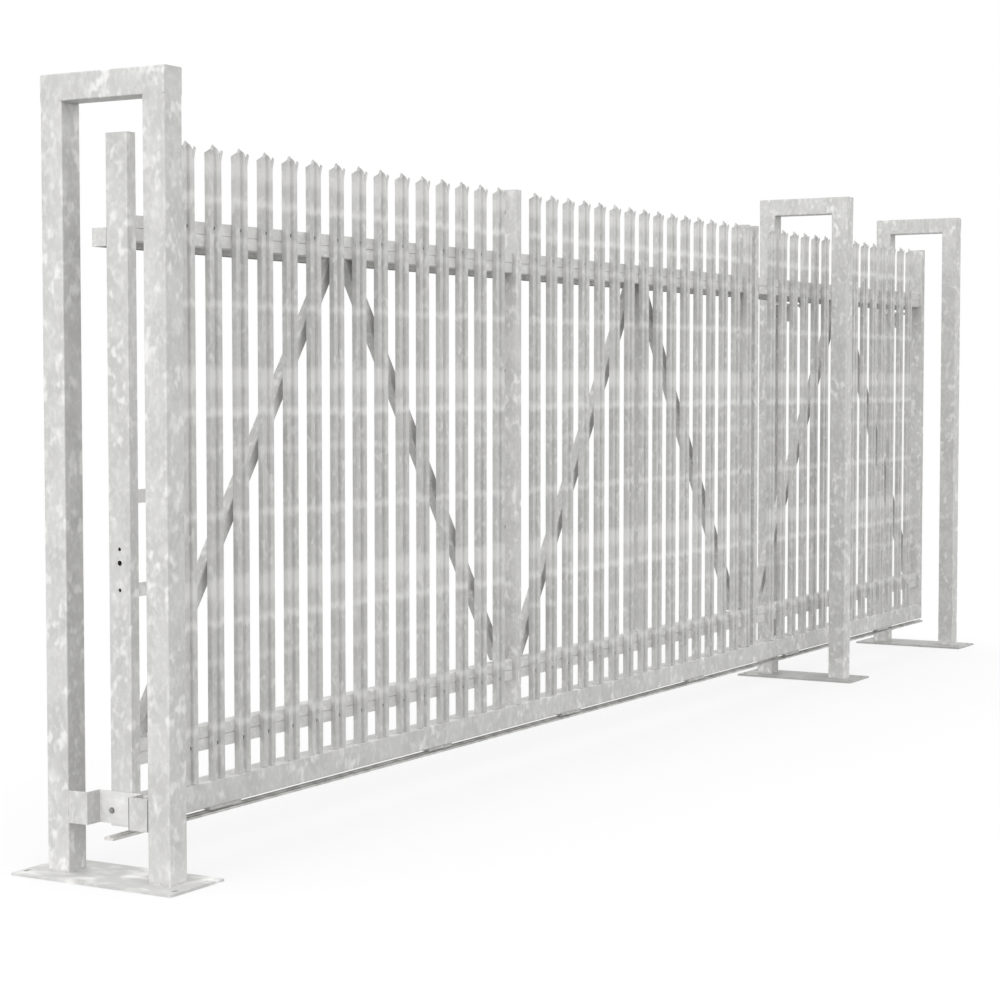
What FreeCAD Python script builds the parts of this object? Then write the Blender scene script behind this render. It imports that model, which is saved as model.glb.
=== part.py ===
import FreeCAD, Part
import math
import os

# A tracked sliding gate: a palisade leaf that rolls on a ground track through three goal-post portals.
# Millimetres. X runs along the leaf and is the way it opens, Y goes to the back, Z is up.
# The origin is under the middle of the first portal's base plate.

V = FreeCAD.Vector
along_x = V(1, 0, 0)
along_y = V(0, 1, 0)
along_z = V(0, 0, 1)

# Tube corners
corner_walls = 1.0             # outer corner radius of the larger tubes, in walls
corner_clip = 0.6              # clip of a cap plate's corners, in corner radii
bar_clip = 1.2                 # clip of the small bars' corners, in walls

# Portals
portal_tube = 100.0            # square tube of posts and top beams
portal_tube_wall = 5.0
portal_width = 570.0           # over both posts
portal_height = 2930.0         # underside of base plate to top of beam
portal_2_x = 6550.0            # distance from the first portal to the second
beam_cap = 3.0                 # plates that close the beam's ends
base_length = 740.0
base_depth = 310.0
base_thickness = 10.0
anchor_edge_x = 60.0           # slot centres to the base plate's edges
anchor_edge_y = 26.0
anchor_slot_width = 18.0
anchor_slot_length = 38.0

# Track
track_start = -45.0
track_end = 8670.0
track_bottom = 147.0           # finished ground stands this high above the base plates' undersides
track_width = 42.0
track_thickness = 10.0
ridge_radius = 8.0             # half-round bar that the wheels run on

# Leaf frame
leaf_start = 30.0
leaf_end = 8562.0
portal_3_past_leaf = 8.0       # the third portal stands at the closed leaf's end
stile_width = 50.0
stile_depth = 100.0
stile_wall = 4.0
stile_top = 2716.0
stile_cap = 3.0
middle_stile_x = 2900.0        # centre lines of the stiles between the panels
splice_front_x = 5616.0
splice_rear_x = 5739.0
sill_height = 100.0            # square tube along the bottom
sill_wall = 5.0
sill_bottom = 185.0
sill_end_plate = 6.0
rail_size = 50.0
rail_wall = 3.0
rail_front = -30.0             # plane that the pales' backs lie on
top_rail_bottom = 2325.0
bottom_rail_bottom = 451.0
angle_leg = 45.0
angle_thickness = 5.0
brace_width = 54.0
brace_depth = 52.0
brace_wall = 3.0
brace_setback = 24.0           # brace's front behind the rails' front
brace_foot_offset = 57.0       # brace's middle line from the stile, on the bottom rail
brace_head_offset = 49.0       # brace's middle line from the panel's middle, under the top rail

# Pales: rolled sheet with a W section, open to the back, and a head split into three points
pale_pitch = 167.2
pale_width = 75.0              # over the wings' tips, which meet the rails
pale_depth = 21.5
pale_sheet = 3.0
ridge_spread = 73.0            # over the two forward ridges
groove_width = 28.0            # between the ridges
groove_floor = 17.0
groove_depth = 11.0
pale_bottom = 288.0
pale_tip = 2716.0
head_split = 64.0              # length of the split head
centre_fall = 26.5             # from the middle point to the splits
side_tip_drop = 19.0           # from the middle point to the side points
side_slope = 0.47              # fall of a side point's edge, across the sheet
side_splay = 10.0
side_lean = 5.0                # side points also lean forward
first_pale_offsets = [162.0, 171.0, 188.0]   # from each panel's leading stile
pale_clearance = 45.0          # least gap from a pale to the next stile
splice_pales = [0, 1, 0]       # pales of each panel that stand in front of a splice stile

# Wheels under the leaf
wheel_groove_radius = 50.0
wheel_flange = 3.0
wheel_width = 30.0
wheel_inset_leading = 560.0    # from the stiles' centre lines
wheel_inset_trailing = 690.0
wheel_slot_clearance = 6.0
wheel_frame_length = 200.0
wheel_frame_width = 70.0
axle_radius = 10.0
running_gap = 0.3              # wheel to track, axle to bore

# Guide rail behind the leaf's top rail, and the rollers in it
guide_width = 65.0
guide_height = 68.0
guide_wall = 5.0
guide_bottom = 2307.0
roller_side_gap = 0.8
roller_height = 45.0
roller_rise = 5.0              # roller's underside above the guide rail's lower edge
roller_spacing = 240.0
spindle_radius = 8.0
bracket_length = 340.0
bracket_thickness = 8.0
bracket_height = 100.0
bracket_drop = 17.0            # bracket's top below the guide rail
bracket_stile_gap = 7.5

# Stop between the first portal's posts
stop_arm_length = 89.0
stop_arm_thickness = 8.0
stop_arm_setback = 1.0         # arms' front behind the posts' front
stop_height = 120.0
stop_bottom = 195.0
stop_plate_x = 22.0
stop_plate_thickness = 5.0
buffer_side_gap = 30.0         # buffer to the arms
buffer_height = 70.0
buffer_gap = 0.5

# Lock fittings on the leading stile
lock_bar_height = 50.0
lock_bar_thickness = 6.0
lock_bar_levels = [1054.0, 1397.0]
lock_hole_levels = [1055.0, 1205.0]
lock_hole_radius = 7.0
key_hole_level = 1154.0
key_hole_radius = 10.0

portal_3_x = leaf_end + portal_3_past_leaf
half_tube = portal_tube / 2
half_portal = portal_width / 2
post_inner = half_portal - portal_tube
half_stile = stile_width / 2
sill_top = sill_bottom + sill_height
rail_back = rail_front + rail_size
guide_front = stile_depth / 2
guide_back = guide_front + guide_width
ridge_foot = track_bottom + track_thickness
axle_level = ridge_foot + ridge_radius + running_gap + wheel_groove_radius


def block(x0, x1, y0, y1, z0, z1):
    return Part.makeBox(x1 - x0, y1 - y0, z1 - z0, V(x0, y0, z0))


def edges_along(solid, axis):
    return [edge for edge in solid.Edges if abs(edge.tangentAt(edge.FirstParameter).dot(axis)) > 0.9]


# Block whose edges along one axis are rounded
def rounded_block(x0, x1, y0, y1, z0, z1, axis, radius):
    solid = block(x0, x1, y0, y1, z0, z1)
    return solid.makeFillet(radius, edges_along(solid, axis))


# Cap plate with its corners clipped to the rounded tube under it
def clipped_plate(x0, x1, y0, y1, z0, z1, axis, radius):
    solid = block(x0, x1, y0, y1, z0, z1)
    return solid.makeChamfer(corner_clip * radius, edges_along(solid, axis))


def tube_along_x(x0, x1, y0, y1, z0, z1, wall):
    bore = block(x0 - 1, x1 + 1, y0 + wall, y1 - wall, z0 + wall, z1 - wall)
    return rounded_block(x0, x1, y0, y1, z0, z1, along_x, corner_walls * wall).cut(bore)


def tube_along_y(x0, x1, y0, y1, z0, z1, wall):
    bore = block(x0 + wall, x1 - wall, y0 - 1, y1 + 1, z0 + wall, z1 - wall)
    return rounded_block(x0, x1, y0, y1, z0, z1, along_y, corner_walls * wall).cut(bore)


def tube_along_z(x0, x1, y0, y1, z0, z1, wall):
    bore = block(x0 + wall, x1 - wall, y0 + wall, y1 - wall, z0 - 1, z1 + 1)
    return rounded_block(x0, x1, y0, y1, z0, z1, along_z, corner_walls * wall).cut(bore)


# Small hollow bar along X with its corners clipped
def box_bar(x0, x1, y0, y1, z0, z1, wall):
    bore = block(x0 - 1, x1 + 1, y0 + wall, y1 - wall, z0 + wall, z1 - wall)
    body = block(x0, x1, y0, y1, z0, z1)
    return body.makeChamfer(bar_clip * wall, edges_along(body, along_x)).cut(bore)


def face_from(points):
    return Part.Face(Part.makePolygon(points + points[:1]))


def write(node, solids):
    shape = solids[0] if len(solids) == 1 else Part.makeCompound(solids)
    shape.exportStep(os.path.join("parts", node + ".step"))


# Base plate with a slot along X for each anchor bolt
def base_plate(x):
    plate = block(x - base_depth / 2, x + base_depth / 2, -base_length / 2, base_length / 2, 0, base_thickness)
    radius = anchor_slot_width / 2
    run = anchor_slot_length / 2 - radius
    for side_x in (-1, 1):
        for side_y in (-1, 1):
            slot_x = x + side_x * (base_depth / 2 - anchor_edge_x)
            slot_y = side_y * (base_length / 2 - anchor_edge_y)
            slot = block(slot_x - run, slot_x + run, slot_y - radius, slot_y + radius, -1, base_thickness + 1)
            for end in (slot_x - run, slot_x + run):
                slot = slot.fuse(Part.makeCylinder(radius, base_thickness + 2, V(end, slot_y, -1)))
            plate = plate.cut(slot)
    return plate.removeSplitter()


def portal_post(x, y0):
    top = portal_height - portal_tube
    return tube_along_z(x - half_tube, x + half_tube, y0, y0 + portal_tube, base_thickness, top, portal_tube_wall)


def top_beam(x):
    reach = half_portal - beam_cap
    level = portal_height - portal_tube
    return tube_along_y(x - half_tube, x + half_tube, -reach, reach, level, portal_height, portal_tube_wall)


def top_beam_caps(x):
    level = portal_height - portal_tube
    plates = []
    for y0 in (-half_portal, half_portal - beam_cap):
        plates.append(clipped_plate(x - half_tube, x + half_tube, y0, y0 + beam_cap, level, portal_height,
                                    along_y, corner_walls * portal_tube_wall))
    return plates


def track_ridge():
    rod = Part.makeCylinder(ridge_radius, track_end - track_start, V(track_start, 0, ridge_foot), V(1, 0, 0))
    upper = block(track_start, track_end, -ridge_radius, ridge_radius, ridge_foot, ridge_foot + ridge_radius)
    return rod.common(upper)


# Folded plates on the first portal's posts, each with a cheek that runs back to the stop plate.
def stop_arms():
    front = stop_arm_setback - half_tube
    back = stop_plate_x + stop_plate_thickness
    top = stop_bottom + stop_height
    arms = []
    for way in (-1, 1):
        fold = way * (post_inner - stop_arm_length)
        free, seat = sorted((fold, way * post_inner))
        flange = block(front, front + stop_arm_thickness, free, seat, stop_bottom, top)
        inside, outside = sorted((fold, fold + way * stop_arm_thickness))
        cheek = block(front, back, inside, outside, stop_bottom, top)
        arms.append(flange.fuse(cheek).removeSplitter())
    return arms


def stop_plate():
    reach = post_inner - stop_arm_length
    return block(stop_plate_x, stop_plate_x + stop_plate_thickness, -reach, reach,
                 stop_bottom, stop_bottom + stop_height)


def stop_buffer():
    middle = stop_bottom + stop_height / 2
    reach = post_inner - stop_arm_length - buffer_side_gap
    return block(stop_plate_x + stop_plate_thickness, leaf_start - buffer_gap, -reach, reach,
                 middle - buffer_height / 2, middle + buffer_height / 2)


# Angle bracket on a back post's inner face. Its level leg reaches in under the guide rail.
def guide_bracket(x):
    top = guide_bottom - bracket_drop
    front = guide_front + bracket_stile_gap
    half = bracket_length / 2
    level_leg = block(x - half, x + half, front, post_inner, top - bracket_thickness, top)
    upright_leg = block(x - half, x + half, post_inner - bracket_thickness, post_inner, top - bracket_height, top)
    return level_leg.fuse(upright_leg).removeSplitter()


# Each roller stands on its spindle and runs inside the guide rail.
def guide_rollers(x):
    radius = guide_width / 2 - guide_wall - roller_side_gap
    middle = (guide_front + guide_back) / 2
    bracket_top = guide_bottom - bracket_drop
    roller_bottom = guide_bottom + roller_rise
    rollers = []
    for dx in (-roller_spacing / 2, roller_spacing / 2):
        spindle = Part.makeCylinder(spindle_radius, roller_bottom - bracket_top, V(x + dx, middle, bracket_top))
        drum = Part.makeCylinder(radius, roller_height, V(x + dx, middle, roller_bottom))
        rollers.append(drum.fuse(spindle))
    return rollers


# The two stiles at the splice stand back to the rails' front, so that a pale passes before them.
def stile_front(x0):
    at_splice = splice_front_x - half_stile <= x0 <= splice_rear_x - half_stile
    return rail_front if at_splice else -stile_depth / 2


def stile(x0):
    return tube_along_z(x0, x0 + stile_width, stile_front(x0), stile_depth / 2,
                        sill_top, stile_top - stile_cap, stile_wall)


def stile_cap_plate(x0):
    return clipped_plate(x0, x0 + stile_width, stile_front(x0), stile_depth / 2,
                         stile_top - stile_cap, stile_top, along_z, corner_walls * stile_wall)


def leading_stile(x0):
    post = stile(x0)
    holes = [(level, lock_hole_radius) for level in lock_hole_levels]
    holes.append((key_hole_level, key_hole_radius))
    for level, radius in holes:
        post = post.cut(Part.makeCylinder(radius, stile_wall + 1, V(x0 - 1, 0, level), V(1, 0, 0)))
    return post


# Pale angle: its upright leg takes the pales' bolts and its level leg lies on the rail.
def pale_angle(x0, x1, rail_face, way):
    def between(z0, z1):
        return min(z0, z1), max(z0, z1)
    low, high = between(rail_face, rail_face + way * angle_leg)
    upright = block(x0, x1, rail_front, rail_front + angle_thickness, low, high)
    low, high = between(rail_face, rail_face + way * angle_thickness)
    level = block(x0, x1, rail_front, rail_front + angle_leg, low, high)
    return upright.fuse(level).removeSplitter()


# Box brace from beside the middle of the top rail to beside a lower corner, cut to the frame that it stands in.
def brace(corner_x, middle_x):
    way = math.copysign(1, middle_x - corner_x)
    foot = V(corner_x + way * brace_foot_offset, 0, bottom_rail_bottom + rail_size)
    head = V(middle_x - way * brace_head_offset, 0, top_rail_bottom)
    run = head - foot
    tilt = math.degrees(math.atan2(run.z, run.x))
    front = rail_front + brace_setback
    spare = brace_width * 4
    half = brace_width / 2
    bar = box_bar(-spare, run.Length + spare, front, front + brace_depth, -half, half, brace_wall)
    bar.rotate(V(0, 0, 0), V(0, 1, 0), -tilt)
    bar.translate(foot)
    field = block(min(corner_x, middle_x), max(corner_x, middle_x), front, front + brace_depth, foot.z, head.z)
    return bar.common(field)


# Closed outline of a bent sheet, from its middle line given as (across, depth) points.
def sheet_outline(line, thickness):
    sides = ([], [])
    for i, (x, d) in enumerate(line):
        before = line[max(i - 1, 0)]
        after = line[min(i + 1, len(line) - 1)]
        normals = []
        for a, b in ((before, (x, d)), ((x, d), after)):
            length = math.hypot(b[0] - a[0], b[1] - a[1])
            if length > 0:
                normals.append(((a[1] - b[1]) / length, (b[0] - a[0]) / length))
        nx = sum(n[0] for n in normals)
        nd = sum(n[1] for n in normals)
        stretch = thickness * len(normals) / (nx * nx + nd * nd) / 2
        sides[0].append((x + nx * stretch, d + nd * stretch))
        sides[1].append((x - nx * stretch, d - nd * stretch))
    return sides[0] + sides[1][::-1]


def sheet_face(line, level):
    return face_from([V(x, rail_front - d, level) for x, d in sheet_outline(line, pale_sheet)])


# Body under the middle point's edges, which fall evenly across the flat sheet before it is rolled
def centre_trim(neck, corners):
    reach = [0.0]
    for (x0, d0), (x1, d1) in zip(corners, corners[1:]):
        reach.append(reach[-1] + math.hypot(x1 - x0, d1 - d0))
    edge = [(x, pale_tip - centre_fall * run / reach[-1]) for (x, d), run in zip(corners, reach)]
    outline = [(-x, z) for x, z in edge[:0:-1]] + edge
    outline += [(edge[-1][0], neck), (-edge[-1][0], neck)]
    start = rail_front - 2 * pale_depth
    return face_from([V(x, start, z) for x, z in outline]).extrude(V(0, 3 * pale_depth, 0))


# Body under a side point's edge, which falls outwards and along the wing to the back
def side_trim(way, inner, outer, front):
    def level(x, d):
        return pale_tip - side_tip_drop - side_slope * (x - inner) - side_slope * (front - d)
    corners = [(inner - 2 * side_splay, -pale_sheet), (outer, -pale_sheet), (outer, front + pale_sheet),
               (inner - 2 * side_splay, front + pale_sheet)]
    roof = face_from([V(way * x, rail_front - d, level(x, d)) for x, d in corners])
    return roof.extrude(V(0, 0, -2 * head_split))


def pale():
    half_sheet = pale_sheet / 2
    front = pale_depth - half_sheet
    floor = front - groove_depth
    wing = pale_width / 2
    ridge_outer = ridge_spread / 2
    ridge_inner = groove_width / 2
    groove = groove_floor / 2
    split = (ridge_outer + ridge_inner) / 2
    groove_line = [(-ridge_inner, front), (-groove, floor), (groove, floor), (ridge_inner, front)]
    left = [(-wing, 0.0), (-ridge_outer, front)]
    right = [(ridge_outer, front), (wing, 0.0)]
    neck = pale_tip - head_split
    solid = sheet_face(left + groove_line + right, pale_bottom).extrude(V(0, 0, neck - pale_bottom))

    centre = sheet_face([(-split, front)] + groove_line + [(split, front)], neck).extrude(V(0, 0, head_split))
    corners = [(0.0, floor), (groove, floor), (ridge_inner, front), (split, front)]
    solid = solid.fuse(centre.common(centre_trim(neck, corners)))

    for way in (-1, 1):
        section = sheet_face([(way * split, front), (way * ridge_outer, front), (way * wing, 0.0)], neck)
        point = section.extrude(V(way * side_splay, -side_lean, head_split))
        trim = side_trim(way, split + side_splay, wing + side_splay + pale_sheet, pale_depth + side_lean)
        solid = solid.fuse(point.common(trim))
    solid = solid.removeSplitter()
    solid.translate(V(0, rail_front - solid.BoundBox.YMax, 0))
    return solid


def pales(first_x, limit_x, beyond):
    one = pale()
    count = int((limit_x - first_x) // pale_pitch) + 1 + beyond
    copies = []
    for i in range(count):
        copy = one.copy()
        copy.translate(V(first_x + i * pale_pitch, 0, 0))
        copies.append(copy)
    return copies


# Wheel with a shallow V groove that runs on the track's ridge
def wheel(x):
    rim = wheel_groove_radius + wheel_flange
    bore = axle_radius + running_gap
    half = wheel_width / 2
    profile = [(bore, -half), (rim, -half), (wheel_groove_radius, 0), (rim, half), (bore, half)]
    section = face_from([V(x + radius, y, axle_level) for radius, y in profile])
    return section.revolve(V(x, 0, axle_level), along_y, 360)


def axle(x):
    reach = sill_height / 2 - sill_wall
    return Part.makeCylinder(axle_radius, 2 * reach, V(x, -reach, axle_level), V(0, 1, 0))


def wheel_slot(x):
    half_length = wheel_groove_radius + wheel_flange + wheel_slot_clearance
    half_width = wheel_width / 2 + wheel_slot_clearance
    return block(x - half_length, x + half_length, -half_width, half_width, 0, sill_bottom + sill_wall + 1)


def wheel_frame(x):
    half_length = wheel_frame_length / 2
    half_width = wheel_frame_width / 2
    bottom = ridge_foot + ridge_radius + 5
    return block(x - half_length, x + half_length, -half_width, half_width, bottom, sill_bottom).cut(wheel_slot(x))


def sill(wheel_places):
    half = sill_height / 2
    body = tube_along_x(leaf_start + sill_end_plate, leaf_end - sill_end_plate, -half, half,
                        sill_bottom, sill_top, sill_wall)
    for x in wheel_places:
        body = body.cut(wheel_slot(x))
    return body


def sill_end_plates():
    half = sill_height / 2
    plates = []
    for x0 in (leaf_start, leaf_end - sill_end_plate):
        plates.append(clipped_plate(x0, x0 + sill_end_plate, -half, half, sill_bottom, sill_top,
                                    along_x, corner_walls * sill_wall))
    return plates


# Channel with its open side down. Its leading end is closed, and rollers enter at its trailing end.
def guide_rail():
    channel = block(leaf_start + stile_cap, leaf_end, guide_front, guide_back,
                    guide_bottom, guide_bottom + guide_height)
    hollow = block(leaf_start, leaf_end + 1, guide_front + guide_wall, guide_back - guide_wall,
                   guide_bottom - 1, guide_bottom + guide_height - guide_wall)
    return channel.cut(hollow)


def guide_rail_end():
    return block(leaf_start, leaf_start + stile_cap, guide_front, guide_back,
                 guide_bottom, guide_bottom + guide_height)


def lock_bars(x0, first_pale_x):
    bars = []
    for level in lock_bar_levels:
        bars.append(block(x0, first_pale_x + pale_width / 2, rail_front, rail_front + lock_bar_thickness,
                          level - lock_bar_height / 2, level + lock_bar_height / 2))
    return bars


os.makedirs("parts", exist_ok=True)

portal_places = [0.0, portal_2_x, portal_3_x]
caps = []
for number, x in enumerate(portal_places, 1):
    name = "portal_%d_" % number
    write(name + "base_plate", [base_plate(x)])
    write(name + "back_post", [portal_post(x, post_inner)])
    write(name + "front_post", [portal_post(x, -half_portal)])
    write(name + "top_beam", [top_beam(x)])
    caps += top_beam_caps(x)
write("portal_beam_caps", caps)

write("track_strip", [block(track_start, track_end, -track_width / 2, track_width / 2, track_bottom, ridge_foot)])
write("track_ridge", [track_ridge()])
write("stop_arms", stop_arms())
write("stop_plate", [stop_plate()])
write("stop_buffer", [stop_buffer()])
for number, x in ((2, portal_2_x), (3, portal_3_x)):
    write("portal_%d_guide_bracket" % number, [guide_bracket(x)])
    write("portal_%d_guide_rollers" % number, guide_rollers(x))

trailing_stile_x = leaf_end - half_stile
stile_places = {
    "leading_stile": leaf_start,
    "middle_stile": middle_stile_x - half_stile,
    "splice_stile_front": splice_front_x - half_stile,
    "splice_stile_rear": splice_rear_x - half_stile,
    "trailing_stile": trailing_stile_x - half_stile,
}
for name, x0 in stile_places.items():
    write(name, [leading_stile(x0) if x0 == leaf_start else stile(x0)])
write("stile_caps", [stile_cap_plate(x0) for x0 in stile_places.values()])

# Clear span of each panel, between the stiles' faces
panel_spans = [
    (leaf_start + stile_width, middle_stile_x - half_stile),
    (middle_stile_x + half_stile, splice_front_x - half_stile),
    (splice_rear_x + half_stile, leaf_end - stile_width),
]
top_rail_top = top_rail_bottom + rail_size
bottom_rail_top = bottom_rail_bottom + rail_size
write("top_rails", [box_bar(x0, x1, rail_front, rail_back, top_rail_bottom, top_rail_top, rail_wall)
                    for x0, x1 in panel_spans])
write("bottom_rails", [box_bar(x0, x1, rail_front, rail_back, bottom_rail_bottom, bottom_rail_top, rail_wall)
                       for x0, x1 in panel_spans])
write("top_pale_angles", [pale_angle(x0, x1, top_rail_top, 1) for x0, x1 in panel_spans])
write("bottom_pale_angles", [pale_angle(x0, x1, bottom_rail_bottom, -1) for x0, x1 in panel_spans])
write("rising_braces", [brace(x0, (x0 + x1) / 2) for x0, x1 in panel_spans])
write("falling_braces", [brace(x1, (x0 + x1) / 2) for x0, x1 in panel_spans])

first_pales = [x0 - half_stile + offset for (x0, x1), offset in zip(panel_spans, first_pale_offsets)]
for number, (first_x, (x0, x1)) in enumerate(zip(first_pales, panel_spans), 1):
    limit_x = x1 - pale_clearance - pale_width / 2
    write("panel_%d_pales" % number, pales(first_x, limit_x, splice_pales[number - 1]))

wheel_places = []
for x0, x1 in panel_spans:
    wheel_places.append(x0 - half_stile + wheel_inset_leading)
    wheel_places.append(x1 + half_stile - wheel_inset_trailing)
write("sill", [sill(wheel_places)])
write("sill_end_plates", sill_end_plates())
write("wheel_frames", [wheel_frame(x) for x in wheel_places])
write("wheels", [wheel(x) for x in wheel_places])
write("wheel_axles", [axle(x) for x in wheel_places])
write("guide_rail", [guide_rail()])
write("guide_rail_end", [guide_rail_end()])
write("lock_bars", lock_bars(leaf_start + stile_width, first_pales[0]))
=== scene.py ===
import math

import bmesh
import bpy
from mathutils import Matrix, Vector


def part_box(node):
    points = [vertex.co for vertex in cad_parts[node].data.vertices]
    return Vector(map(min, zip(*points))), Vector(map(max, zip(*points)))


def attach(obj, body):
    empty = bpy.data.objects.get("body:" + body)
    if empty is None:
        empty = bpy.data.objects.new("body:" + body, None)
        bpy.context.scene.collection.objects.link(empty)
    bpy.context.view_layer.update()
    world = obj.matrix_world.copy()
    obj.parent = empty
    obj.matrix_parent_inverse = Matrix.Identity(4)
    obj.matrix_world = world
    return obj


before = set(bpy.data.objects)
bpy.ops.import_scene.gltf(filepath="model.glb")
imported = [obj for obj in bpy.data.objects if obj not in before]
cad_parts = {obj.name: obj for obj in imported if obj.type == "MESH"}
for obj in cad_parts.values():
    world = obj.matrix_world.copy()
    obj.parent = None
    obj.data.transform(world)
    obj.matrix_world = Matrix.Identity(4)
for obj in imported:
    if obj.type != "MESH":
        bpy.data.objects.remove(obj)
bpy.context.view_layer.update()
scene = bpy.context.scene

# Metres. X runs along the leaf, Y to the back, Z up.


# Finishes


def new_finish(name):
    material = bpy.data.materials.new(name)
    material.use_nodes = True
    tree = material.node_tree
    return material, tree, tree.nodes["Principled BSDF"]


def node(tree, kind, **values):
    made = tree.nodes.new(kind)
    for name, value in values.items():
        setattr(made, name, value)
    return made


def placed(tree, scale):
    coordinates = node(tree, "ShaderNodeTexCoord")
    mapping = node(tree, "ShaderNodeMapping")
    mapping.inputs["Scale"].default_value = scale
    tree.links.new(coordinates.outputs["Object"], mapping.inputs["Vector"])
    return mapping.outputs["Vector"]


def noise(tree, scale, detail, roughness=0.5):
    made = node(tree, "ShaderNodeTexNoise")
    made.inputs["Scale"].default_value = 1.0
    made.inputs["Detail"].default_value = detail
    made.inputs["Roughness"].default_value = roughness
    tree.links.new(placed(tree, scale), made.inputs["Vector"])
    return made.outputs["Fac"]


def ramp(tree, value, stops):
    made = node(tree, "ShaderNodeValToRGB")
    made.color_ramp.interpolation = "EASE"
    while len(made.color_ramp.elements) < len(stops):
        made.color_ramp.elements.new(0.5)
    for element, (place, colour) in zip(made.color_ramp.elements, stops):
        element.position = place
        element.color = (*colour, 1.0)
    tree.links.new(value, made.inputs["Fac"])
    return made.outputs["Color"]


# Zinc is a very slightly warm grey
def grey(value):
    return (value, value * 0.995, value * 0.980)


def mixed(tree, kind, amount, first, second):
    made = node(tree, "ShaderNodeMix", data_type="RGBA", blend_type=kind)
    factor, a, b = made.inputs[0], made.inputs[6], made.inputs[7]
    for socket, value in ((factor, amount), (a, first), (b, second)):
        if isinstance(value, bpy.types.NodeSocket):
            tree.links.new(value, socket)
        else:
            socket.default_value = value if socket is factor else (*value, 1.0)
    return made.outputs[2]


def bumped(tree, shader, height, strength, distance):
    bump = node(tree, "ShaderNodeBump")
    bump.inputs["Strength"].default_value = strength
    bump.inputs["Distance"].default_value = distance
    tree.links.new(height, bump.inputs["Height"])
    tree.links.new(bump.outputs["Normal"], shader.inputs["Normal"])


def roughness_from(tree, shader, value, low, high):
    spread = node(tree, "ShaderNodeMapRange")
    spread.inputs["To Min"].default_value = low
    spread.inputs["To Max"].default_value = high
    tree.links.new(value, spread.inputs["Value"])
    tree.links.new(spread.outputs["Result"], shader.inputs["Roughness"])


# One amount for all three colours
def share(value):
    return (value, value, value)


# Level drip lines, a little wavy, that come back up the length of a pale
def drip_lines(tree):
    repeat = 0.81
    waviness = 0.06
    parts = node(tree, "ShaderNodeSeparateXYZ")
    tree.links.new(placed(tree, (1.0, 1.0, 1 / repeat)), parts.inputs["Vector"])
    wave = node(tree, "ShaderNodeMath", operation="MULTIPLY_ADD")
    wave.inputs[1].default_value = waviness
    tree.links.new(noise(tree, (26, 26, 9), 2.0, 0.6), wave.inputs[0])
    tree.links.new(parts.outputs["Z"], wave.inputs[2])
    turn = node(tree, "ShaderNodeMath", operation="FRACT")
    tree.links.new(wave.outputs[0], turn.inputs[0])
    stops = [(0.09, 0.0), (0.125, 1.0), (0.165, 0.2), (0.215, 0.2), (0.27, 0.8), (0.32, 0.7),
             (0.36, 0.0), (0.60, 0.0), (0.635, 0.8), (0.67, 0.0), (0.91, 0.0), (0.945, 0.5), (0.98, 0.0)]
    return ramp(tree, turn.outputs[0], [(place, share(amount)) for place, amount in stops])


# Hot-dip zinc: soft shading, pale blots that run with the drip, and a fine crystal grain.
# The blot gives a blot's usual size along X, Y and Z, and the lift how much lighter it is.
def galvanised(name, tone, blot, lift, lines=False):
    material, tree, shader = new_finish(name)
    shader.inputs["Metallic"].default_value = 0.1
    shading = noise(tree, [0.4 / size for size in blot], 1.5, 0.5)
    base = ramp(tree, shading, [(0.32, grey(tone * 0.93)), (0.68, grey(tone * 1.05))])
    blots = noise(tree, [1 / size for size in blot], 1.4, 0.5)
    blot_mask = ramp(tree, blots, [(0.50, share(0)), (0.73, share(1))])
    clusters = noise(tree, [0.25 / size for size in blot], 1.0)
    cluster_mask = ramp(tree, clusters, [(0.36, share(0.35)), (0.56, share(1))])
    clustered = mixed(tree, "MULTIPLY", 1.0, blot_mask, cluster_mask)
    spots = noise(tree, [1.8 / size for size in blot], 1.0)
    spot_mask = ramp(tree, spots, [(0.44, share(0)), (0.72, share(0.30))])
    colour = mixed(tree, "MIX", spot_mask, base, grey(tone * lift))
    colour = mixed(tree, "MIX", clustered, colour, grey(tone * lift))
    if lines:
        colour = mixed(tree, "MIX", drip_lines(tree), colour, grey(tone * 1.36))
    grain = noise(tree, (190, 190, 190), 2.0, 0.6)
    grain_tone = ramp(tree, grain, [(0.3, share(0.95)), (0.7, share(1))])
    colour = mixed(tree, "MULTIPLY", 1.0, colour, grain_tone)
    tree.links.new(colour, shader.inputs["Base Color"])
    roughness_from(tree, shader, shading, 0.44, 0.62)
    bumped(tree, shader, grain, 0.10, 0.001)
    return material


# Bare turned or polished steel with fine lines round or along the piece
def worn_steel(name, tone, scale, metallic, low, high):
    material, tree, shader = new_finish(name)
    shader.inputs["Metallic"].default_value = metallic
    lines = noise(tree, scale, 3.0, 0.6)
    stains = noise(tree, (14, 14, 14), 3.0, 0.6)
    base = ramp(tree, stains, [(0.3, grey(tone * 0.72)), (0.7, grey(tone * 1.1))])
    streak = ramp(tree, lines, [(0.3, grey(0.86)), (0.7, grey(1.0))])
    tree.links.new(mixed(tree, "MULTIPLY", 1.0, base, streak), shader.inputs["Base Color"])
    roughness_from(tree, shader, lines, low, high)
    bumped(tree, shader, lines, 0.15, 0.0006)
    return material


# Moulded black pieces: faint mottling and a fine matt grain
def moulded(name, colour, low, high):
    material, tree, shader = new_finish(name)
    mottle = noise(tree, (60, 60, 60), 3.0, 0.6)
    dark = tuple(c * 0.7 for c in colour)
    tree.links.new(ramp(tree, mottle, [(0.3, dark), (0.7, colour)]), shader.inputs["Base Color"])
    grain = noise(tree, (900, 900, 900), 2.0)
    roughness_from(tree, shader, mottle, low, high)
    bumped(tree, shader, grain, 0.2, 0.0004)
    return material


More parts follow.
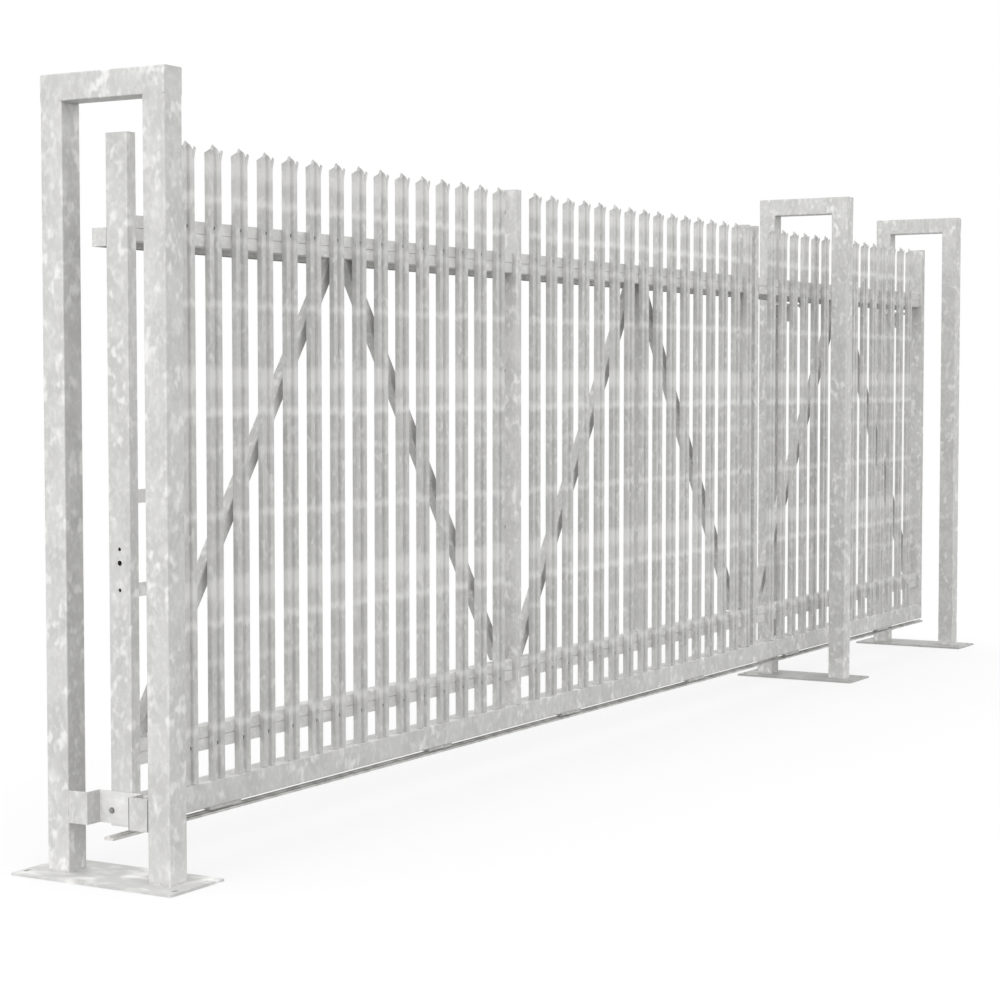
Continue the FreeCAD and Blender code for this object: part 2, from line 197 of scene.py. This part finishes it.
tube_zinc = galvanised("tube_zinc", 0.625, (0.034, 0.034, 0.048), 1.38)
pale_zinc = galvanised("pale_zinc", 0.58, (0.030, 0.030, 0.045), 1.28, lines=True)
sill_zinc = galvanised("sill_zinc", 0.62, (0.044, 0.034, 0.054), 1.36)
bar_zinc = galvanised("bar_zinc", 0.69, (0.050, 0.032, 0.032), 1.24)
plate_zinc = galvanised("plate_zinc", 0.76, (0.032, 0.050, 0.032), 1.18)
# The base plates are all one zinc. The first portal's is painted lighter, with larger and paler blots, as
# painted glare and reflection. The others are painted darker, as painted shade between the posts.
first_base_painted_light = galvanised("first_base_painted_light", 0.64, (0.100, 0.130, 0.100), 1.62)
base_painted_shade = galvanised("base_painted_shade", 0.46, (0.034, 0.050, 0.034), 1.22)
weld_zinc = galvanised("weld_zinc", 0.56, (0.015, 0.015, 0.015), 1.2)
track_zinc = worn_steel("track_zinc", 0.68, (3, 240, 240), 0.4, 0.35, 0.6)
wheel_zinc = worn_steel("wheel_zinc", 0.40, (200, 30, 200), 0.8, 0.3, 0.55)
bolt_zinc = worn_steel("bolt_zinc", 0.24, (300, 300, 300), 0.7, 0.35, 0.6)
roller_black = moulded("roller_black", (0.045, 0.045, 0.048), 0.35, 0.5)
buffer_black = moulded("buffer_black", (0.03, 0.03, 0.03), 0.6, 0.8)

bar_nodes = ("rails", "guide_rail", "guide_rail_end", "pale_angles", "lock_bars")
plate_nodes = ("stop_plate", "end_plates", "guide_bracket")
for name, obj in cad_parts.items():
    if name.endswith("_pales"):
        finish = pale_zinc
    elif name.startswith("track"):
        finish = track_zinc
    elif name.endswith("rollers"):
        finish = roller_black
    elif name == "stop_buffer":
        finish = buffer_black
    elif name in ("wheels", "wheel_axles"):
        finish = wheel_zinc
    elif name == "sill":
        finish = sill_zinc
    # Painted light and shade: the first base plate gets the lighter zinc, the other base plates the darker
    # one
    elif name == "portal_1_base_plate":
        finish = first_base_painted_light
    elif name.endswith("base_plate"):
        finish = base_painted_shade
    elif name.endswith(plate_nodes):
        finish = plate_zinc
    elif name.endswith(bar_nodes):
        finish = bar_zinc
    else:
        finish = tube_zinc
    obj.data.materials.clear()
    obj.data.materials.append(finish)


# Small pieces


def mesh_from(shape, name):
    bmesh.ops.recalc_face_normals(shape, faces=shape.faces[:])
    mesh = bpy.data.meshes.new(name)
    shape.to_mesh(mesh)
    shape.free()
    return mesh


# Copies of one small shape at many places, joined in one piece
def repeated(name, placed_shapes, body, finish, smooth=False):
    joined = bmesh.new()
    for shape, place in placed_shapes:
        before = len(joined.verts)
        joined.from_mesh(shape)
        joined.verts.ensure_lookup_table()
        bmesh.ops.transform(joined, matrix=place, verts=joined.verts[before:])
    for face in joined.faces:
        face.smooth = smooth
    mesh = bpy.data.meshes.new(name)
    joined.to_mesh(mesh)
    joined.free()
    mesh.materials.append(finish)
    piece = bpy.data.objects.new(name, mesh)
    scene.collection.objects.link(piece)
    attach(piece, body)


# Turned shape round Z from (radius, height) points that start and end on the axis
def turned(name, outline, steps):
    shape = bmesh.new()
    points = [shape.verts.new((radius, 0.0, height)) for radius, height in outline]
    edges = [shape.edges.new(pair) for pair in zip(points, points[1:])]
    bmesh.ops.spin(shape, geom=points + edges, cent=(0, 0, 0), axis=(0, 0, 1), angle=math.tau, steps=steps,
                   use_merge=True)
    bmesh.ops.remove_doubles(shape, verts=shape.verts[:], dist=0.00001)
    return mesh_from(shape, name)


# Hexagon head or nut on a washer, along Z, with its top corners eased
def hexagon(name, across_flats, height, washer):
    shape = bmesh.new()
    radius = across_flats / math.sqrt(3)
    made = bmesh.ops.create_cone(shape, cap_ends=True, segments=6, radius1=radius, radius2=radius,
                                 depth=height)
    bmesh.ops.translate(shape, verts=made["verts"], vec=(0, 0, washer + height / 2))
    top = [edge for edge in shape.edges if all(vert.co.z > washer + height * 0.9 for vert in edge.verts)]
    bmesh.ops.bevel(shape, geom=top, offset=height * 0.16, affect="EDGES", segments=1, profile=0.5,
                    material=-1)
    ring = bmesh.ops.create_cone(shape, cap_ends=True, segments=14, radius1=radius * 1.22,
                                 radius2=radius * 1.18, depth=washer)
    bmesh.ops.translate(shape, verts=ring["verts"], vec=(0, 0, washer / 2))
    stud = bmesh.ops.create_cone(shape, cap_ends=True, segments=10, radius1=across_flats * 0.29,
                                 radius2=across_flats * 0.26, depth=height * 0.45)
    bmesh.ops.translate(shape, verts=stud["verts"], vec=(0, 0, washer + height * 1.15))
    return mesh_from(shape, name)


# Weld bead along Z, as a row of overlapping ripples that taper at both ends
def bead(length, radius):
    pitch = 0.0055
    end_swell = 0.55
    valley_swell = 0.84
    shape = bmesh.new()
    steps = max(4, 2 * round(length / pitch / 2))
    made = bmesh.ops.create_circle(shape, cap_ends=True, segments=8, radius=radius)
    disc = made["verts"] + shape.edges[:] + shape.faces[:]
    bmesh.ops.spin(shape, geom=disc, cent=(0, 0, 0), axis=(0, 0, 1), dvec=(0, 0, length / steps),
                   angle=0.0, steps=steps)
    for vert in shape.verts:
        ring = round(vert.co.z / length * steps)
        swell = valley_swell if ring % 2 else 1.0
        if ring in (0, steps):
            swell = end_swell
        vert.co.x *= swell
        vert.co.y *= swell
    return mesh_from(shape, "bead")


def aimed(place, direction):
    turn = Vector(direction).to_track_quat("Z", "Y").to_matrix().to_4x4()
    return Matrix.Translation(place) @ turn


def bead_between(start, end, radius=0.005):
    start, end = Vector(start), Vector(end)
    run = end - start
    return bead(run.length, radius), aimed(start, run)


# Plain bar between two corners
def block(first, second):
    first, second = Vector(first), Vector(second)
    shape = bmesh.new()
    bmesh.ops.create_cube(shape, size=1.0)
    size = [abs(b - a) for a, b in zip(first, second)]
    bmesh.ops.scale(shape, vec=size, verts=shape.verts[:])
    return mesh_from(shape, "bar"), Matrix.Translation((first + second) / 2)


# Lowest and highest X of each solid of a node, from its corners within 1 mm of a height
def spans_along_x(name, height, apart):
    corners = [vert.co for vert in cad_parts[name].data.vertices]
    places = sorted(corner.x for corner in corners if abs(corner.z - height) < 0.001)
    spans = [[places[0], places[0]]]
    for x in places:
        if x - spans[-1][1] > apart:
            spans.append([x, x])
        spans[-1][1] = x
    return spans


# Fixings

pale_bolt_outline = [(0, 0.0062), (0.0042, 0.0056), (0.0068, 0.0034), (0.0078, 0.0004),
                     (0.0078, -0.0004), (0.0045, -0.0004), (0.0045, -0.020), (0, -0.020)]
pale_bolt = turned("pale_bolt", pale_bolt_outline, 12)
pale_nut = hexagon("pale_nut", 0.0155, 0.008, 0.0016)
hex_bolt = hexagon("hex_bolt", 0.017, 0.0075, 0.0016)
flat_bolt = hexagon("flat_bolt", 0.026, 0.0045, 0.0015)

bolt_off_middle = 0.002
groove_depth = 0.0105
angle_thickness = 0.005
pale_gap = 0.05
angle_low, angle_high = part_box("top_pale_angles")
foot_low, foot_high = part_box("bottom_pale_angles")
upper_bolts = (angle_low.z + angle_high.z) / 2 + bolt_off_middle
lower_bolts = (foot_low.z + foot_high.z) / 2 - bolt_off_middle
rail_face = angle_low.y
heads = []
nuts = []
for panel in ("panel_1_pales", "panel_2_pales", "panel_3_pales"):
    for left, right in spans_along_x(panel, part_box(panel)[0].z, pale_gap):
        x = (left + right) / 2
        for height in (upper_bolts, lower_bolts):
            heads.append((pale_bolt, aimed((x, rail_face - groove_depth, height), (0, -1, 0))))
            nuts.append((pale_nut, aimed((x, rail_face + angle_thickness, height), (0, 1, 0))))
repeated("pale_bolts", heads, "leaf", bolt_zinc, smooth=True)
repeated("pale_nuts", nuts, "leaf", bolt_zinc)

stile_bolt_heights = (2.612, 1.867, 1.130)
stile_bolt_y = 0.027
bolted_faces = [(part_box("middle_stile")[0].x, -1), (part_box("splice_stile_front")[0].x, -1),
                (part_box("splice_stile_rear")[1].x, 1)]
stile_bolts = []
for height in stile_bolt_heights:
    for x, way in bolted_faces:
        stile_bolts.append((flat_bolt, aimed((x, stile_bolt_y, height), (way, 0, 0))))
repeated("stile_bolts", stile_bolts, "leaf", bolt_zinc)

stop_bolt_height = 0.243
stop_bolt_places = (-0.064, 0.039)
stop_low, stop_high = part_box("stop_plate")
stop_bolts = [(hex_bolt, aimed((stop_low.x, y, stop_bolt_height), (-1, 0, 0))) for y in stop_bolt_places]
repeated("stop_bolts", stop_bolts, "fixed_frame", wheel_zinc)

# Dark strips down both sides of the stop's arm at the front post, proud of it: painted shade in the open
# seams there
seam_width = 0.003
seam_proud = 0.0003
seam_sunk = 0.0002
seam_end = 0.001
arms_low, arms_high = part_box("stop_arms")
seam_shade_strips = []
for y in (stop_low.y - seam_width, arms_low.y):
    seam_shade_strips.append(block((arms_low.x - seam_proud, y, arms_low.z + seam_end),
                       (arms_low.x + seam_sunk, y + seam_width, arms_high.z - seam_end)))
repeated("stop_seam_shade", seam_shade_strips, "fixed_frame", bolt_zinc)

# Nuts under the guide rollers, and bolts through each bracket's back into the post
bracket_thickness = 0.008
bracket_bolt_spread = 0.028
bracket_bolt_rise = 0.024
bracket_bolts = []
for portal in ("portal_2", "portal_3"):
    low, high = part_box(portal + "_guide_bracket")
    rollers_low, rollers_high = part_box(portal + "_guide_rollers")
    radius = (rollers_high.y - rollers_low.y) / 2
    y = (rollers_low.y + rollers_high.y) / 2
    for x in (rollers_low.x + radius, rollers_high.x - radius):
        bracket_bolts.append((hex_bolt, aimed((x, y, high.z - bracket_thickness), (0, 0, -1))))
    middle = (low.x + high.x) / 2
    face = high.y - bracket_thickness
    for x in (middle - bracket_bolt_spread, middle + bracket_bolt_spread):
        bracket_bolts.append((hex_bolt, aimed((x, face, low.z + bracket_bolt_rise), (0, -1, 0))))
repeated("bracket_bolts", bracket_bolts, "fixed_frame", plate_zinc)


# Upright between the second panel's braces, a little past the panel's middle and just within their depth

upright_width = 0.050
upright_past_middle = 0.037
upright_inset = 0.001
upright_corner = 0.004
brace_low, brace_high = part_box("rising_braces")
brace_middle = (brace_low + brace_high) / 2
panel_middle = (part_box("middle_stile")[1].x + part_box("splice_stile_front")[0].x) / 2
upright_x = panel_middle + upright_past_middle
upright_depth = brace_high.y - brace_low.y - 2 * upright_inset
upright_length = brace_high.z - brace_low.z
upright = bmesh.new()
bmesh.ops.create_cube(upright, size=1.0)
bmesh.ops.scale(upright, vec=(upright_width, upright_depth, upright_length), verts=upright.verts[:])
long_edges = [edge for edge in upright.edges if edge.calc_length() > upright_length * 0.9]
bmesh.ops.bevel(upright, geom=long_edges, offset=upright_corner, affect="EDGES", segments=2, profile=0.5,
                material=-1)
upright_place = Matrix.Translation((upright_x, brace_middle.y, brace_middle.z))
upright_shape = mesh_from(upright, "upright")
repeated("panel_2_upright", [(upright_shape, upright_place)], "leaf", tube_zinc)


# Welds

bead_off_face = 0.0015
foot_bead_inset = 0.009
thin_bead = 0.004

# Beads round the posts' feet and under the beams, and flat welds at the posts' tops
flush_depth = 0.0045
flush_height = 0.005
flush_inset = 0.005
flush_sunk = 0.0002
frame_beads = []
flush_welds = []
for portal in ("portal_1", "portal_2", "portal_3"):
    for post in ("_front_post", "_back_post"):
        low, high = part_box(portal + post)
        inset_low = low + Vector((foot_bead_inset, foot_bead_inset, 0))
        inset_high = high - Vector((foot_bead_inset, foot_bead_inset, 0))
        foot = low.z + bead_off_face
        for face, way in ((low.x, -1), (high.x, 1)):
            x = face + way * bead_off_face
            frame_beads.append(bead_between((x, inset_low.y, foot), (x, inset_high.y, foot)))
            flush_welds.append(block((face, low.y + flush_inset, high.z - flush_sunk),
                                     (face - way * flush_depth, high.y - flush_inset, high.z + flush_height)))
        for y in (low.y - bead_off_face, high.y + bead_off_face):
            frame_beads.append(bead_between((inset_low.x, y, foot), (inset_high.x, y, foot)))
        inner_face = low.y if low.y > 0 else high.y
        start = (inset_low.x, inner_face, high.z)
        end = (inset_high.x, inner_face, high.z)
        frame_beads.append(bead_between(start, end))
repeated("flush_welds", flush_welds, "fixed_frame", tube_zinc)

# Beads up the stop's arms and up the back of its plate
arm_bead_inset = 0.009
plate_bead_inset = 0.012
stop_bead_off = 0.001
x = arms_low.x + arm_bead_inset
for y in (arms_low.y + stop_bead_off, arms_high.y - stop_bead_off):
    start = (x, y, arms_low.z + arm_bead_inset)
    end = (x, y, arms_high.z - arm_bead_inset)
    frame_beads.append(bead_between(start, end))
x = stop_high.x + stop_bead_off
for y in (stop_low.y, stop_high.y):
    start = (x, y, stop_low.z + plate_bead_inset)
    end = (x, y, stop_high.z - plate_bead_inset)
    frame_beads.append(bead_between(start, end, thin_bead))
repeated("frame_welds", frame_beads, "fixed_frame", weld_zinc, smooth=True)

# Beads round the stiles' feet, where the sill is under them
sill_margin = 0.004
side_bead_sunk = 0.002
side_bead_inset = 0.008
sill_low, sill_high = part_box("sill")
stile_names = ("leading_stile", "middle_stile", "splice_stile_front", "splice_stile_rear", "trailing_stile")
leaf_beads = []
for name in stile_names:
    low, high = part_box(name)
    foot = low.z + bead_off_face
    for x in (low.x - bead_off_face, high.x + bead_off_face):
        if sill_low.x - sill_margin < x < sill_high.x + sill_margin:
            start = (x, low.y + foot_bead_inset, foot)
            end = (x, high.y - foot_bead_inset, foot)
            leaf_beads.append(bead_between(start, end))
    for y in (low.y + side_bead_sunk, high.y - side_bead_sunk):
        start = (low.x + side_bead_inset, y, low.z)
        end = (high.x - side_bead_inset, y, low.z)
        leaf_beads.append(bead_between(start, end))

# Beads round the rails' ends
rail_bead_off = 0.0012
rail_bead_inset = 0.004
panel_ends = [("leading_stile", "middle_stile"), ("middle_stile", "splice_stile_front"),
              ("splice_stile_rear", "trailing_stile")]
for rail in ("top_rails", "bottom_rails"):
    low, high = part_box(rail)
    for first_stile, last_stile in panel_ends:
        for x in (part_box(first_stile)[1].x + rail_bead_off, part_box(last_stile)[0].x - rail_bead_off):
            for y in (low.y, high.y):
                start = (x, y, low.z + rail_bead_inset)
                end = (x, y, high.z - rail_bead_inset)
                leaf_beads.append(bead_between(start, end, thin_bead))
            for z in (low.z, high.z):
                start = (x, low.y + rail_bead_inset, z)
                end = (x, high.y - rail_bead_inset, z)
                leaf_beads.append(bead_between(start, end, thin_bead))

# Beads above and below the guide rail, on the stiles' backs
guide_bead_off = 0.001
guide_bead_inset = 0.006
guide_low, guide_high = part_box("guide_rail")
for name in stile_names:
    low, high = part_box(name)
    y = high.y + guide_bead_off
    for z in (guide_low.z - guide_bead_off, guide_high.z + guide_bead_off):
        start = (low.x + guide_bead_inset, y, z)
        end = (high.x - guide_bead_inset, y, z)
        leaf_beads.append(bead_between(start, end, thin_bead))

# Beads round the braces' ends and before the upright's
brace_bead_off = 0.001
brace_bead_inset = 0.006
rail_back_inset = 0.004
upright_bead_half = 0.020
brace_gap = 0.3
rail_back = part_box("top_rails")[1].y
for name in ("rising_braces", "falling_braces"):
    low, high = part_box(name)
    y = low.y - brace_bead_off
    for z in (low.z, high.z):
        for left, right in spans_along_x(name, z, brace_gap):
            start = (left + brace_bead_inset, y, z)
            end = (right - brace_bead_inset, y, z)
            leaf_beads.append(bead_between(start, end, thin_bead))
            for x in (left, right):
                start = (x, low.y + brace_bead_inset, z)
                end = (x, rail_back - rail_back_inset, z)
                leaf_beads.append(bead_between(start, end, thin_bead))
y = brace_low.y - brace_bead_off
for z in (brace_low.z, brace_high.z):
    start = (upright_x - upright_bead_half, y, z)
    end = (upright_x + upright_bead_half, y, z)
    leaf_beads.append(bead_between(start, end, thin_bead))

# Beads up the lock bars' ends
lock_bar_height = 0.050
lock_bead_off = 0.001
lock_bead_inset = 0.006
bar_low, bar_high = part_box("lock_bars")
x = bar_low.x + lock_bead_off
y = bar_high.y + lock_bead_off
for bottom in (bar_low.z, bar_high.z - lock_bar_height):
    start = (x, y, bottom + lock_bead_inset)
    end = (x, y, bottom + lock_bar_height - lock_bead_inset)
    leaf_beads.append(bead_between(start, end, thin_bead))
repeated("leaf_welds", leaf_beads, "leaf", weld_zinc, smooth=True)


# Floor, light and camera

# Rays that see the studio's white: the camera's own, mirrored ones and those through clear pieces
def seen_rays(tree):
    path = node(tree, "ShaderNodeLightPath")
    camera_or_metal = node(tree, "ShaderNodeMath", operation="MAXIMUM")
    any_seen = node(tree, "ShaderNodeMath", operation="MAXIMUM")
    tree.links.new(path.outputs["Is Camera Ray"], camera_or_metal.inputs[0])
    tree.links.new(path.outputs["Is Glossy Ray"], camera_or_metal.inputs[1])
    tree.links.new(camera_or_metal.outputs[0], any_seen.inputs[0])
    tree.links.new(path.outputs["Is Transmission Ray"], any_seen.inputs[1])
    return any_seen.outputs[0]


gate_middle = 4.3
floor_reach = 60.0
floor_drop = 0.0005
floor_shape = bmesh.new()
bmesh.ops.create_grid(floor_shape, x_segments=1, y_segments=1, size=floor_reach)
bmesh.ops.translate(floor_shape, verts=floor_shape.verts[:], vec=(gate_middle, 0.0, -floor_drop))
floor = bpy.data.objects.new("floor", mesh_from(floor_shape, "floor"))
scene.collection.objects.link(floor)

# The floor bounces little light, looks pale near the gate and fades to the studio's white
bounced_tone = 0.22
seen_tone = 0.86
fade_x = 9.0
fade_y = 5.0
floor_paint = bpy.data.materials.new("floor_paint")
floor_paint.use_nodes = True
tree = floor_paint.node_tree
tree.nodes.clear()
output = node(tree, "ShaderNodeOutputMaterial")
matt = node(tree, "ShaderNodeBsdfDiffuse")
white = node(tree, "ShaderNodeEmission")
seen = seen_rays(tree)
tree.links.new(mixed(tree, "MIX", seen, share(bounced_tone), share(seen_tone)), matt.inputs["Color"])
centre = node(tree, "ShaderNodeTexCoord")
away = node(tree, "ShaderNodeMapping")
away.inputs["Location"].default_value = (-gate_middle / fade_x, 0.0, 0.0)
away.inputs["Scale"].default_value = (1 / fade_x, 1 / fade_y, 1.0)
distance = node(tree, "ShaderNodeVectorMath", operation="LENGTH")
fade = node(tree, "ShaderNodeMapRange", interpolation_type="SMOOTHSTEP")
fade.inputs["From Min"].default_value = 0.55
fade.inputs["From Max"].default_value = 1.3
fade.inputs["To Min"].default_value = 0.66
fade.inputs["To Max"].default_value = 1.0
amount = node(tree, "ShaderNodeMath", operation="MULTIPLY")
blend = node(tree, "ShaderNodeMixShader")
tree.links.new(centre.outputs["Object"], away.inputs["Vector"])
tree.links.new(away.outputs["Vector"], distance.inputs[0])
tree.links.new(distance.outputs["Value"], fade.inputs["Value"])
tree.links.new(fade.outputs["Result"], amount.inputs[0])
tree.links.new(seen, amount.inputs[1])
tree.links.new(amount.outputs[0], blend.inputs["Fac"])
tree.links.new(matt.outputs["BSDF"], blend.inputs[1])
tree.links.new(white.outputs["Emission"], blend.inputs[2])
tree.links.new(blend.outputs["Shader"], output.inputs["Surface"])
floor.data.materials.append(floor_paint)

world = bpy.data.worlds.new("studio")
scene.world = world
world.use_nodes = True
tree = world.node_tree
tree.nodes.clear()
output = node(tree, "ShaderNodeOutputWorld")
room = node(tree, "ShaderNodeBackground")
room.inputs["Color"].default_value = (1.0, 1.0, 1.0, 1.0)
room.inputs["Strength"].default_value = 1.2
backdrop = node(tree, "ShaderNodeBackground")
backdrop.inputs["Color"].default_value = (1.0, 1.0, 1.0, 1.0)
backdrop.inputs["Strength"].default_value = 1.0
blend = node(tree, "ShaderNodeMixShader")
tree.links.new(seen_rays(tree), blend.inputs["Fac"])
tree.links.new(room.outputs["Background"], blend.inputs[1])
tree.links.new(backdrop.outputs["Background"], blend.inputs[2])
tree.links.new(blend.outputs["Shader"], output.inputs["Surface"])


# Large soft lamp that faces a point on the gate and isn't seen itself
def soft_lamp(name, place, target, width, height, power):
    light = bpy.data.lights.new(name, "AREA")
    light.shape = "RECTANGLE"
    light.size = width
    light.size_y = height
    light.energy = power
    lamp = bpy.data.objects.new(name, light)
    lamp.location = place
    lamp.rotation_euler = (Vector(target) - Vector(place)).to_track_quat("-Z", "Y").to_euler()
    lamp.visible_camera = False
    scene.collection.objects.link(lamp)


soft_lamp("key", (-26.0, 0.0, 5.0), (0.0, 0.0, 1.4), 14.0, 10.0, 2180.0)
soft_lamp("fill", (4.0, -14.0, 5.0), (4.0, 0.0, 1.4), 12.0, 6.0, 200.0)

view = bpy.data.cameras.new("view")
view.sensor_width = 36.0
view.lens = 81.42
camera = bpy.data.objects.new("view", view)
camera.location = (-6.4026, -5.3090, 1.8142)
camera.rotation_euler = (math.radians(87.015), 0.0, math.radians(-60.04))
scene.collection.objects.link(camera)
scene.camera = camera
scene.view_settings.view_transform = "Standard"
